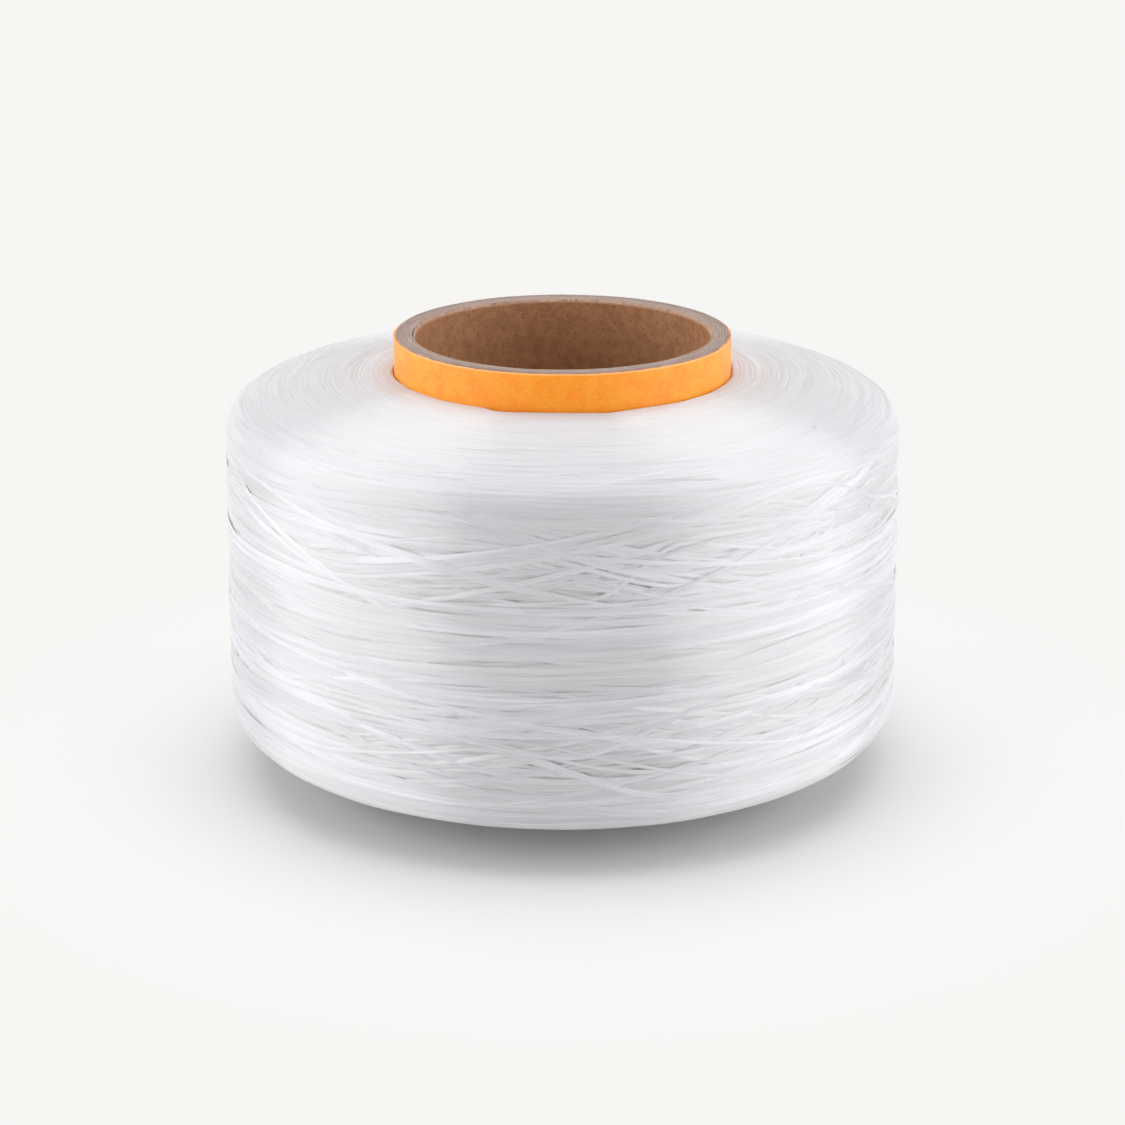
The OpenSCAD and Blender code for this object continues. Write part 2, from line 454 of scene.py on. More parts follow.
def section_along(s, run, route, rng):
    """Width and thickness of the thread, point by point."""
    broad = 0.75 * waves(run, (47, 83, 131, 260), rng)
    width = WIDTH * np.exp(0.30 * broad + 0.10 * np.maximum(broad, 0) ** 2)
    width = np.clip(width, NARROWEST, WIDEST)
    covered = slice(route.covered_points)
    width[covered] = np.maximum(width[covered], LEAST_COVERED)
    for first, end, given in route.given_widths:
        width[first:end] = given
    width = smooth(width, 9)
    thick = np.clip(THICKNESS * (WIDTH / width) ** 0.5, THINNEST, THICKEST)
    return width, thick * np.interp(s, *zip(*RELIEF))


def finer(values, times):
    """The values at so many places to a step."""
    steps = len(values) - 1
    return np.interp(np.linspace(0, steps, steps * times + 1), np.arange(steps + 1), values)


def places_across(lines, part, times, shares):
    """Bearings and distances run of places across the thread, so many rows to a step.

    The lines are its bearing, its distance run, how both change across it, and its width.
    """
    bearing, s, turn, slide, width = (finer(line[part], times) for line in lines)
    out = width[:, None] * shares
    return bearing[:, None] + out * turn[:, None], s[:, None] + out * slide[:, None]


def lay_thread(bearing, s, route, rng):
    """Lays the thread turn by turn on what is there, and gives its course and section."""
    count = len(s)
    r, n_r = OUTLINE.at(s, "r"), OUTLINE.at(s, "n_r")
    ds = np.gradient(s)
    arc = r * np.gradient(bearing)
    step = np.hypot(arc, ds)
    run = np.concatenate([[0], np.cumsum((step[1:] + step[:-1]) / 2)])
    along, aside = arc / step, ds / step
    bend = along ** 2 * n_r / r + aside ** 2 * OUTLINE.at(s, "bend")
    bend = np.maximum(bend, LOOSEST_BEND)
    width, thick = section_along(s, run, route, rng)
    lines = (bearing, s, -aside / r, along, width)

    ground = Ground()
    height = np.zeros(count)
    lifted = np.zeros(count)
    roll = np.zeros(count)
    start = 0.0
    for first in range(0, count - 1, STEPS):
        part = slice(first, min(first + STEPS + AHEAD, count))
        under = ground.read(*places_across(lines, part, READ, PROBES))
        rise = (under[:, 4] + under[:, 3]) - (under[:, 0] + under[:, 1])
        lean = rise / (PROBES_OUT * finer(width[part], READ))
        # it is carried by the highest ground that is near each point
        centre = 0.5 * (under[:, 1:4].max(axis=1) + under.mean(axis=1))
        padded = np.pad(centre, READ // 2, mode="edge")
        near = [padded[k:k + len(centre)] for k in range(READ + 1)]
        support = np.max(near, axis=0)[::READ]
        lay = taut(run[part] - run[first], support - SINK, bend[part], start)
        lay = np.maximum(np.minimum(lay, smooth(support, 25) + HIGHEST_BRIDGE), support - SINK)
        turn = slice(first, min(first + STEPS, count))
        kept = turn.stop - first
        height[turn] = lay[:kept]
        lifted[turn] = lay[:kept] - under.min(axis=1)[::READ][:kept]
        roll[turn] = smooth(lean, 33)[::READ][:kept]
        start = lay[min(kept, len(lay) - 1)]
        # what is laid now carries what comes next
        crown = finer(thick[turn], RAISE)[:, None] * PRESSED * CROWN
        ground.raise_to(*places_across(lines, turn, RAISE, CROWN_AT),
                        finer(height[turn], RAISE)[:, None] + crown)
    return ground, height, smooth(lifted, 5), roll, width, thick, run


def thread_frame(bearing, s, out):
    """Centre of the thread so far out from the outline, and the ways across it and up."""
    n_r, n_z = OUTLINE.at(s, "n_r"), OUTLINE.at(s, "n_z")
    centre = ring_points(OUTLINE.at(s, "r") + n_r * out, bearing, OUTLINE.at(s, "z") + n_z * out)
    up = ring_points(n_r, bearing, n_z)
    along = np.gradient(centre, axis=0)
    along /= np.linalg.norm(along, axis=1)[:, None]
    across = np.cross(along, up)
    across /= np.linalg.norm(across, axis=1)[:, None]
    return centre, across, np.cross(across, along)


# Corners of the thread's section: share of the width, share of the thickness, and share
# of the way down to the turns under it, which its sides press into.
SECTION = np.array([(-0.5, 0.30, 0.0), (-0.25, 0.88, 0.0), (0.23, 1.0, 0.0),
                    (0.5, 0.34, 0.0), (0.47, 0.0, -1.0), (-0.47, 0.0, -1.0)])
PRESSED_IN = 0.06  # how far the sides go into what they rest on
SHALLOWEST, DEEPEST = 0.15, 1.0
# How far each corner's normal leans aside: a round bundle of fibres, which passes light
# on between them, shades more softly than flat faces do.
LEANS = np.array([-0.45, -0.15, 0.15, 0.45, 0.30, -0.30])
CORNERS = len(SECTION)
FIRST_CAP = np.array([(0, 1, 2, 3), (0, 3, 4, 5)])
BURIED = 0.14  # the thread is in sight where less than this lies on it
SIGHT_STEPS = 8  # how far a stretch goes on out of sight, in points
END_DIP = 0.12  # how far its ends go down there
END_RINGS = 4
TWIST = 0.13  # how far the thread rolls to and fro, in radians
SPAN_RINGS = 2000  # longer stretches are built as several
PIECE_RINGS = 14000  # rings at which a piece is full
U_PER_MM = 0.01  # of the UV map, along the thread


def lowest_around(h, rows, cols):
    """The lowest of the heights within so many cells each way."""
    low = h.copy()
    for k in range(1, cols + 1):
        low = np.minimum(low, np.minimum(np.roll(h, k, axis=1), np.roll(h, -k, axis=1)))
    high = np.pad(low, ((rows, rows), (0, 0)), mode="edge")
    return np.min([high[k:k + len(h)] for k in range(2 * rows + 1)], axis=0)


def in_sight(ground, bearing, s, height, thick, width):
    """True where nothing much lies on the thread, and for a little way to each side."""
    seen = np.zeros(len(s), bool)
    for share in (-0.45, -0.2, 0.0, 0.2, 0.45):
        over = ground.read(bearing, s + share * width)
        seen |= over < height + thick * PRESSED + BURIED
    return np.convolve(seen, np.ones(2 * SIGHT_STEPS + 1), mode="same") > 0


def build_thread():
    """The stretches of the thread in sight, in pieces, and what it lies on."""
    bearing, s, route, rng = lay_route()
    ground, height, lifted, roll, width, thick, run = lay_thread(bearing, s, route, rng)
    # the mean top of all that is laid comes to lie on the outline
    mean_top = smooth(ground.h.mean(axis=1), 61)
    centre, across, up = thread_frame(bearing, s, height - np.interp(s, OUTLINE.s, mean_top))
    twist = TWIST * waves(run, (31, 57, 118), rng)
    relief = np.interp(s, *zip(*RELIEF))
    tilt = (np.clip(np.arctan(roll), -0.5, 0.5) + twist) * np.clip(relief, 0.2, 0.9)
    cos_t, sin_t = np.cos(tilt)[:, None], np.sin(tilt)[:, None]
    side = up * sin_t - across * cos_t
    rise = up * cos_t + across * sin_t
    down = np.clip(lifted + PRESSED_IN, SHALLOWEST, DEEPEST)
    aside = SECTION[:, 0] * width[:, None]
    above = SECTION[:, 1] * thick[:, None] + SECTION[:, 2] * down[:, None]
    rings = (centre[:, None] + side[:, None] * aside[..., None]
             + rise[:, None] * above[..., None])
    normals = (side[:, None] * LEANS[:, None]
               + rise[:, None] * np.sqrt(1 - LEANS ** 2)[:, None])
    # painted shade by how deep each point lies, and the random tone of its stretch
    below = mean_top[(s / OUTLINE.STEP).astype(int)] - (height + thick)
    depth = np.clip(0.4 + below / 0.8, 0, 1)
    tone = np.clip(0.5 + 0.42 * relief * waves(run, (210, 530, 1900), rng), 0, 1)
    seen = in_sight(ground, bearing, s, height, thick, width)
    edges = np.flatnonzero(np.diff(np.concatenate([[0], seen.astype(int), [0]])))
    stretches = [(a, b) for a, b in edges.reshape(-1, 2) if b - a > 2 * END_RINGS]
    for a, b in stretches:  # both ends go down among the turns that lie on them
        for k in range(END_RINGS):
            dip = END_DIP * (1 - k / END_RINGS) ** 2
            rings[a + k] -= rise[a + k] * dip
            rings[b - 1 - k] -= rise[b - 1 - k] * dip
    spans = [(k, min(k + SPAN_RINGS, b)) for a, b in stretches
             for k in range(a, b - 1, SPAN_RINGS - 1)]
    pieces, batch, size = [], [], 0
    for a, b in spans:
        batch.append((a, b))
        size += b - a
        if size > PIECE_RINGS or b == spans[-1][1]:
            pieces.append(thread_piece(len(pieces) + 1, batch, rings, normals, run, depth, tone))
            batch, size = [], 0
    print(f"thread: {run[-1] / 1000:.1f} m, {seen.sum()} rings in {len(spans)} spans")
    return pieces, mean_top, ground


def thread_piece(number, spans, rings, normals, run, depth, tone):
    """One object of many spans, with its UVs, its normals, and its painted shade, tone and
    painted light.
    """
    faces, uvs, shades = [], [], []
    base = 0
    for a, b in spans:
        n = b - a
        faces.append(grid_faces(n, CORNERS)[:, ::-1] + base)
        row, col = np.repeat(np.arange(n - 1), CORNERS), np.tile(np.arange(CORNERS), n - 1)
        u0, u1 = run[a:b][row] * U_PER_MM, run[a:b][row + 1] * U_PER_MM
        v0, v1 = col / CORNERS, (col + 1) / CORNERS
        uvs.append(np.stack([u1, v0, u1, v1, u0, v1, u0, v0], axis=1).reshape(-1, 4, 2))
        shade = np.ones((n, CORNERS, 4), np.float32)
        shade[..., 0] = depth[a:b, None]
        shade[..., 1] = tone[a:b, None]
        # painted light on the sides that go down between the turns below
        shade[..., 2] = SECTION[:, 2] < 0
        shades.append(shade)
        faces.append(base + FIRST_CAP)
        faces.append(base + (n - 1) * CORNERS + CORNERS - 1 - FIRST_CAP)
        uvs.append(np.zeros((4, 4, 2)))
        base += n * CORNERS
    points = np.concatenate([rings[a:b].reshape(-1, 3) for a, b in spans])
    leans = np.concatenate([normals[a:b].reshape(-1, 3) for a, b in spans])
    obj = make_object(f"thread_run_{number}", points, np.concatenate(faces),
                      ("outer_turns",) if number == 1 else ())
    normal = obj.data.attributes.new("custom_normal", "FLOAT_VECTOR", "POINT")
    normal.data.foreach_set("vector", leans.astype(np.float32).ravel())
    uv = obj.data.uv_layers.new(name="along")
    uv.data.foreach_set("uv", np.concatenate(uvs).astype(np.float32).ravel())
    lay = obj.data.color_attributes.new("lay", "FLOAT_COLOR", "POINT")
    lay.data.foreach_set("color", np.concatenate(shades).ravel())
    return obj


BED_COLS, BED_ROWS = 420, 216
BED_UNDER = 0.03  # how far the bed lies under the lowest thread around
TAPE_HOLLOW = 0.25  # how much deeper it lies beside the tape
HOLLOW_REACH = 2.4


def build_bed(mean_top, ground):
    """The older turns under the modelled ones, as one closed body."""
    s = np.linspace(0, OUTLINE.length, BED_ROWS)
    share = np.arange(BED_COLS) / BED_COLS
    bearing = share * 2 * math.pi
    low = lowest_around(ground.h, 3, 2)
    row = np.clip((s / OUTLINE.STEP).astype(int), 0, OUTLINE.cells - 1)
    col = (share * Ground.COLS).astype(int)
    out = low[row][:, col] - np.interp(s, OUTLINE.s, mean_top)[:, None] - BED_UNDER
    out -= TAPE_HOLLOW * np.clip(1 - s / HOLLOW_REACH, 0, 1)[:, None]
    r = OUTLINE.at(s, "r")[:, None] + OUTLINE.at(s, "n_r")[:, None] * out
    r = np.maximum(r, WRAP_R + GLUE_T)
    z = OUTLINE.at(s, "z")[:, None] + OUTLINE.at(s, "n_z")[:, None] * out
    # from its lower end it goes back up inside, along the tube and the tape
    for radius, height in ((WRAP_R, z[-1].mean()), (WRAP_R, TAPE_LOW - GLUE_T),
                           (TAPE_R, TAPE_LOW - GLUE_T), (TAPE_R, z[0].mean())):
        r = np.append(r, np.full((1, BED_COLS), radius + GLUE_T), axis=0)
        z = np.append(z, np.full((1, BED_COLS), height), axis=0)
    points = ring_points(r, bearing, z).reshape(-1, 3)
    faces = grid_faces(len(r), BED_COLS, wrap_rows=True)[:, ::-1]
    return make_object("thread_bed", points, faces,
                       ("thread_pack",))


# ---------------- tube
PLY_COLS = 540
EDGE_BREAK = 0.05
BORE_EDGE_BREAK = 0.30  # the worn inner edge of the liner, across
BORE_EDGE_DEPTH = 0.52  # and down the bore
RIM_FALL = 0.22  # how much lower each cut end lies at the bore
CUT_UNDER = 0.02  # how far the cut lies under its highest fibres
ROUGHNESS = 0.016
# Rings of a ply's walls, as distances from their edge.
WALL_RINGS = (0.0, 0.3, 1.0, 3.0, 8.0, 20.0)

LIFTED_AT = math.radians(178)  # where the liner has come away from the board
LIFTED_HALF = math.radians(15)
LIFTED_BY = 0.20
LIFTED_DEPTH = 5.0


def rim_top(r):
    """Height of the upper cut end at a radius: the cut slopes in towards the bore."""
    return TUBE_L - RIM_FALL * (WRAP_R - r) / (WRAP_R - BORE_R)


def section_of_ply(r_in, r_out, inner_break, inner_depth):
    """Closed section of a ply: radius, height and how far the cut's roughness reaches."""
    cut = np.linspace(r_in + inner_break, r_out - EDGE_BREAK, 6)
    inner_top = rim_top(r_in) - inner_depth
    outer_top = rim_top(r_out) - EDGE_BREAK
    half = [(r_in, TUBE_L / 2, 0.0)]
    half += [(r_in, inner_top - d, 0.3 * (d == 0)) for d in WALL_RINGS[::-1]]
    half += [(r, rim_top(r) - CUT_UNDER, 1.0) for r in cut]
    half += [(r_out, outer_top - d, 0.3 * (d == 0)) for d in WALL_RINGS]
    half.append((r_out, TUBE_L / 2, 0.0))
    low = np.array(half)[::-1]
    low[:, 1] = TUBE_L - low[:, 1]
    return np.concatenate([half, low[1:-1]])


def build_ply(node, r_in, rng):
    """One ply of the tube, from r_in out to the node's own radius."""
    worn = (EDGE_BREAK, EDGE_BREAK)
    if node == "liner_ply":
        worn = (BORE_EDGE_BREAK, BORE_EDGE_DEPTH)
    share = np.arange(PLY_COLS) / PLY_COLS
    bearing = share * 2 * math.pi
    wander = 0.02 * waves(share, (1 / 3, 1 / 7, 1 / 13), rng)
    points = []
    for r, z, rough in section_of_ply(r_in, outer_radius(node), *worn):
        torn = rough * (ROUGHNESS * rng.standard_normal(PLY_COLS) + wander)
        inward = 1 if z > TUBE_L / 2 else -1
        height = np.maximum(z + inward * (torn - 0.03 * rough), 0.0)
        radius = r + 0.4 * rough * ROUGHNESS * rng.standard_normal(PLY_COLS)
        if node == "liner_ply":
            near = np.clip(1 - ((bearing - LIFTED_AT) / LIFTED_HALF) ** 2, 0, 1) ** 2
            down = np.clip(1 - (TUBE_L - z) / LIFTED_DEPTH, 0, 1) ** 2
            radius = radius - LIFTED_BY * near * down
        points.append(ring_points(radius, bearing, height))
    faces = grid_faces(len(points), PLY_COLS, wrap_rows=True)[:, ::-1]
    return make_object("cut_" + node, np.concatenate(points), faces, (node,))


# Where the bore's edge is frayed: middle and spread, in degrees, and number of fibres.
FRAYED = ((-131.5, 2.2, 9), (-135.5, 1.0, 4), (-96, 1.5, 3), (178, 9, 5), (-40, 2.0, 3))
FIBRE_SIDES = 4
FIBRE_RINGS = 5
FIBRE_R = 0.028  # at its root
SQUARE_TO = (0.3, 0.2, 0.93)  # the rings' sides are square to this, which no fibre follows


def fibre_points(line, radii):
    """Rings of points round a line, for a fibre with these radii."""
    along = np.gradient(line, axis=0)
    along /= np.linalg.norm(along, axis=1)[:, None]
    side = np.cross(along, SQUARE_TO)
    side /= np.linalg.norm(side, axis=1)[:, None]
    rise = np.cross(side, along)
    a = np.arange(FIBRE_SIDES)[:, None] / FIBRE_SIDES * 2 * math.pi
    ring = side[:, None] * np.cos(a) + rise[:, None] * np.sin(a)
    return (line[:, None] + ring * radii[:, None, None]).reshape(-1, 3)


def build_fibres(rng):
    """Torn paper fibres on the bore's edge, in the few places where it is frayed."""
    points, faces = [], []
    for middle, spread, count in FRAYED:
        for _ in range(count):
            b = math.radians(middle + rng.normal(0, spread))
            r = BORE_R + rng.uniform(-0.05, 0.25)
            size = rng.uniform(0.25, 0.75)
            lean = rng.uniform(-0.6, 0.6)
            t = np.linspace(0, 1, FIBRE_RINGS)
            radius = r - rng.uniform(0.0, 0.35) * t ** 2
            height = rim_top(BORE_R) - 0.08 + size * 0.55 * (t - 0.45 * t * t)
            line = ring_points(radius, b + lean * size * t / r, height)
            base = len(points) * FIBRE_RINGS * FIBRE_SIDES
            last = base + (FIBRE_RINGS - 1) * FIBRE_SIDES
            points.append(fibre_points(line, FIBRE_R * (1 - 0.7 * t)))
            faces.append(grid_faces(FIBRE_RINGS, FIBRE_SIDES)[:, ::-1] + base)
            faces.append([[base, base + 1, base + 2, base + 3],
                          [last + 3, last + 2, last + 1, last]])
    return make_object("frayed_fibres", np.concatenate(points), np.concatenate(faces))


# ---------------- tape
TAPE_STEPS = 250  # points in one turn of the tape
TAPE_TURNS = 3 + 16 / 360  # this, its end and its thickness are as in the CAD
TAPE_END = math.radians(-8)
TAPE_T = 0.14
# Section of the tape, from its outer face's lower edge up and round: share of its
# thickness and share of its width.
TAPE_SECTION = [(1.0, h) for h in (0, 0.02, 0.15, 0.35, 0.5, 0.65, 0.8, 0.9, 0.96, 0.985)]
TAPE_SECTION += [(0.9, 0.997), (0.5, 1.0), (0.1, 0.997), (0.0, 0.98), (0.0, 0.5),
                 (0.0, 0.02), (0.3, -0.003), (0.7, -0.003)]
HIGHEST_OFF, LOWEST_OFF = 0.05, -0.13  # of its upper edge, which wanders
CRINKLE = 0.006


def build_tape(rng):
    """The tape, wound on in a spiral, its cut edges a little off from turn to turn."""
    count = int(TAPE_TURNS * TAPE_STEPS) + 1
    turn = np.linspace(0, TAPE_TURNS, count)
    bearing = TAPE_END + (turn - TAPE_TURNS) * 2 * math.pi
    inner = TAPE_R - TAPE_T - (TAPE_TURNS - turn) * (TAPE_T + GLUE_T)
    sway = 0.05 * waves(turn, (0.13, 0.31, 1.7), rng) + 0.02 * rng.standard_normal(count)
    top = TAPE_TOP + 0.04 + np.clip(sway, LOWEST_OFF, HIGHEST_OFF)
    low = TAPE_LOW + 0.05 + 0.04 * waves(turn, (0.2, 0.5, 1.3), rng)
    points = []
    for out, share in TAPE_SECTION:
        crinkle = CRINKLE * rng.standard_normal(count) if out == 1 else 0.0
        radius = inner + out * TAPE_T + crinkle
        points.append(ring_points(radius, bearing, low + (top - low) * share))
    # each cut end is a strip of quads across the section
    rows = len(TAPE_SECTION)
    k = np.arange(rows // 2 - 1)
    first_end = np.stack([k, k + 1, rows - 2 - k, rows - 1 - k], axis=1) * count
    faces = grid_faces(rows, count, wrap_cols=False, wrap_rows=True)
    faces = np.concatenate([faces, first_end, first_end[:, ::-1] + count - 1])
    return make_object("orange_band", np.concatenate(points), faces,
                       ("tape_band",))


# ---------------- materials
def new_material(name, looks):
    """A material, with its shader's constant values set."""
    material = bpy.data.materials.new(name)
    material.use_nodes = True
    tree = material.node_tree
    shader = tree.nodes["Principled BSDF"]
    for socket, value in looks.items():
        shader.inputs[socket].default_value = value
    return material, tree, shader


def put(tree, socket, value):
    """Gives an input its value, or links it to the output that the value is."""
    if hasattr(value, "node"):
        tree.links.new(value, socket)
    else:
        socket.default_value = value


def add(tree, kind, *values, **settings):
    """A node with its settings, and with values for its first inputs in their order."""
    node = tree.nodes.new(kind)
    for key, value in settings.items():
        if key in node.inputs:
            put(tree, node.inputs[key], value)
        else:
            setattr(node, key, value)
    for socket, value in zip(node.inputs, values):
        put(tree, socket, value)
    return node


def mix_colour(tree, factor, first, second):
    """The first colour where the factor is 0, the second where it is 1."""
    node = add(tree, "ShaderNodeMix", factor, data_type="RGBA")
    for socket, value in ((6, first), (7, second)):
        put(tree, node.inputs[socket], value if hasattr(value, "node") else (*value, 1))
    return node.outputs[2]


def position(tree):
    """Place in space, in millimetres."""
    where = add(tree, "ShaderNodeTexCoord").outputs["Object"]
    return add(tree, "ShaderNodeVectorMath", where, operation="SCALE", Scale=1 / MM).outputs[0]


def stretched(tree, where, scale):
    """The place times a scale for each axis."""
    return add(tree, "ShaderNodeMapping", where, Scale=scale).outputs[0]


def noise(tree, where, scale, detail=2.0, rough=0.5, distortion=0.0):
    """Cloudy noise from 0 to 1, with about so many lumps to a unit of where."""
    return add(tree, "ShaderNodeTexNoise", where, Scale=scale, Detail=detail,
               Roughness=rough, Distortion=distortion).outputs[0]


def ramp(tree, value, low, high, out_low=0.0, out_high=1.0):
    """Goes smoothly from out_low to out_high as the value goes from low to high."""
    return add(tree, "ShaderNodeMapRange", value, low, high, out_low, out_high,
               interpolation_type="SMOOTHSTEP").outputs[0]


def paint(tree, shader, colour, relief, depth):
    """Gives the shader its colour, and a relief from 0 to 1 that is so many mm deep."""
    tree.links.new(colour, shader.inputs["Base Color"])
    node = add(tree, "ShaderNodeBump", Distance=depth * MM, Height=relief)
    tree.links.new(node.outputs[0], shader.inputs["Normal"])


def cylindrical(tree, where):
    """Distance from the tube's axis, bearing in radians, and height."""
    x, y, z = add(tree, "ShaderNodeSeparateXYZ", where).outputs
    flat = add(tree, "ShaderNodeCombineXYZ", x, y).outputs[0]
    radius = add(tree, "ShaderNodeVectorMath", flat, operation="LENGTH").outputs["Value"]
    bearing = add(tree, "ShaderNodeMath", y, x, operation="ARCTAN2").outputs[0]
    return radius, bearing, z


def at_the_ends(tree, height, reach):
    """1 at the tube's two cut ends, 0 further than reach from them."""
    top = ramp(tree, height, TUBE_L - reach, TUBE_L - 0.6 * reach)
    low = ramp(tree, height, 0.6 * reach, reach, 1.0, 0.0)
    return add(tree, "ShaderNodeMath", top, low, operation="MAXIMUM").outputs[0]


def assign(obj, material):
    """Gives the object this one material."""
    obj.data.materials.clear()
    obj.data.materials.append(material)


WAX_WHITE = (0.59, 0.59, 0.635)
WAX_BRIGHT = (0.72, 0.72, 0.765)
# painted shade: the deeper a turn lies, the darker and warmer it is painted, as it lies in shade
WAX_PAINTED_SHADE = (0.51, 0.505, 0.505)
WAX_PAINTED_THROUGH_LIGHT = (0.95, 0.91, 0.87)  # painted light: pale as if lit by light coming through the strands, on their lower sides and on the older turns down between them
# Bundled plastic fibre with wax on it: the gloss is spread across the strand.
WAX = {"Roughness": 0.55, "IOR": 2.1, "Specular IOR Level": 1.0, "Anisotropic": 0.95,
       "Anisotropic Rotation": 0.25}

DUST = ((143.8, 12.8), (-35.0, 21.1), (-38.1, OUTLINE.s_of_z(29.1)))  # bearing, distance run
DUST_GREY = (0.38, 0.38, 0.42)


def dusty(tree, colour):
    """The colour with a few small grey specks on it."""
    where = position(tree)
    for bearing, s in DUST:
        r, b = OUTLINE.at(s, "r"), math.radians(bearing)
        at = (r * math.cos(b), r * math.sin(b), OUTLINE.at(s, "z"))
        away = add(tree, "ShaderNodeVectorMath", where, at, operation="DISTANCE")
        speck = ramp(tree, away.outputs["Value"], 0.35, 0.85, 0.6, 0.0)
        colour = mix_colour(tree, speck, colour, DUST_GREY)
    return colour


def thread_material():
    """Waxed thread: painted shade by depth, random tone by stretch, painted light on its lower
    sides, and lines along it.
    """
    material, tree, shader = new_material("waxed_thread", WAX)
    lay = add(tree, "ShaderNodeVertexColor", layer_name="lay").outputs["Color"]
    depth, tone, painted_through_light = add(tree, "ShaderNodeSeparateColor", lay).outputs
    colour = mix_colour(tree, tone, WAX_WHITE, WAX_BRIGHT)
    # painted shade: the deeper a point lies, the darker
    colour = mix_colour(tree, depth, colour, WAX_PAINTED_SHADE)
    # painted light on the lower sides that go down between the turns
    colour = mix_colour(tree, painted_through_light, colour, WAX_PAINTED_THROUGH_LIGHT)
    # the fine fibres that a strand is made of, as lines along it
    uv = add(tree, "ShaderNodeUVMap", uv_map="along").outputs[0]
    lines = noise(tree, stretched(tree, uv, (4.0, 11.0, 1.0)), 1.0, 2.0, 0.6)
    lined = add(tree, "ShaderNodeVectorMath", dusty(tree, colour), operation="SCALE",
                Scale=ramp(tree, lines, 0.30, 0.70, 0.93, 1.04))
    strand = add(tree, "ShaderNodeTangent", direction_type="UV_MAP", uv_map="along")
    tree.links.new(strand.outputs[0], shader.inputs["Tangent"])
    paint(tree, shader, lined.outputs[0], lines, 0.03)
    return material


def bed_material():
    """The older turns, seen only in the gaps between strands."""
    material, tree, shader = new_material("older_turns", WAX)
    where = position(tree)
    # painted light and painted shade, mixed at random by clouds
    colour = mix_colour(tree, noise(tree, where, 0.35, 3.0), WAX_PAINTED_THROUGH_LIGHT, WAX_PAINTED_SHADE)
    strand = add(tree, "ShaderNodeTangent", direction_type="RADIAL", axis="Z")
    tree.links.new(strand.outputs[0], shader.inputs["Tangent"])
    turns = noise(tree, stretched(tree, where, (0.15, 0.15, 2.6)), 1.0, 3.0)
    paint(tree, shader, colour, turns, 0.25)
    return material


KRAFT = (0.452, 0.221, 0.107)
KRAFT_DARK = (0.308, 0.138, 0.062)
KRAFT_PALE = (0.55, 0.303, 0.163)
KRAFT_EDGE = (0.47, 0.29, 0.20)
KRAFT_EDGE_REACH = 0.85


def kraft_material():
    """Smooth brown liner paper, mottled, with dark specks, pale fibres and pale ends."""
    looks = {"Roughness": 0.62, "Specular IOR Level": 0.35}
    material, tree, shader = new_material("kraft_paper", looks)
    where = position(tree)
    clouds = ramp(tree, noise(tree, where, 0.55, 4.0, 0.65), 0.35, 0.65)
    colour = mix_colour(tree, clouds, KRAFT_DARK, KRAFT)
    colour = mix_colour(tree, 0.35, colour, KRAFT)
    specks = ramp(tree, noise(tree, where, 1.5, 0.0), 0.66, 0.74, 0.0, 0.8)
    colour = mix_colour(tree, specks, colour, KRAFT_DARK)
    fibres = noise(tree, stretched(tree, where, (1.6, 1.6, 3.4)), 1.0, 3.0, 0.7)
    colour = mix_colour(tree, ramp(tree, fibres, 0.60, 0.80, 0.0, 0.55), colour, KRAFT_PALE)
    height = cylindrical(tree, where)[2]
    ends = at_the_ends(tree, height, KRAFT_EDGE_REACH)
    colour = mix_colour(tree, ends, colour, KRAFT_EDGE)
    paint(tree, shader, colour, fibres, 0.04)
    return material


BOARD = np.array([0.44, 0.34, 0.298])
BOARD_DARK = np.array([0.305, 0.228, 0.193])
BOARD_PALE = np.array([0.52, 0.415, 0.37])
# How light each ply is, from the liner out.
BOARD_TONES = {"board_ply_1": 0.96, "board_ply_2": 1.0, "board_ply_3": 0.95,
               "board_ply_4": 0.92, "board_ply_5": 0.86, "wrap_ply": 1.0}


def board_material(name, tone):
    """Grey-brown board. Its cut end shows fine rings and torn fibre."""
    looks = {"Roughness": 0.85, "Specular IOR Level": 0.08}
    material, tree, shader = new_material(name, looks)
    where = position(tree)
    rounded = add(tree, "ShaderNodeCombineXYZ", *cylindrical(tree, where)).outputs[0]
    rings = noise(tree, stretched(tree, rounded, (7.0, 5.0, 0.6)), 1.0, 3.0, 0.6)
    rings = ramp(tree, rings, 0.35, 0.62)
    colour = mix_colour(tree, rings, BOARD_DARK * tone, BOARD * tone)
    grain = noise(tree, where, 3.2, 3.0, 0.7)
    torn = ramp(tree, grain, 0.52, 0.75, 0.0, 0.6)
    colour = mix_colour(tree, torn, colour, BOARD_PALE * tone)
    paint(tree, shader, colour, grain, 0.06)
    return material


TAPE = (1.0, 0.335, 0.006)
TAPE_DEEP = (1.0, 0.275, 0.002)
TAPE_PALE = (1.0, 0.43, 0.045)
TAPE_CUT = (1.0, 0.50, 0.18)


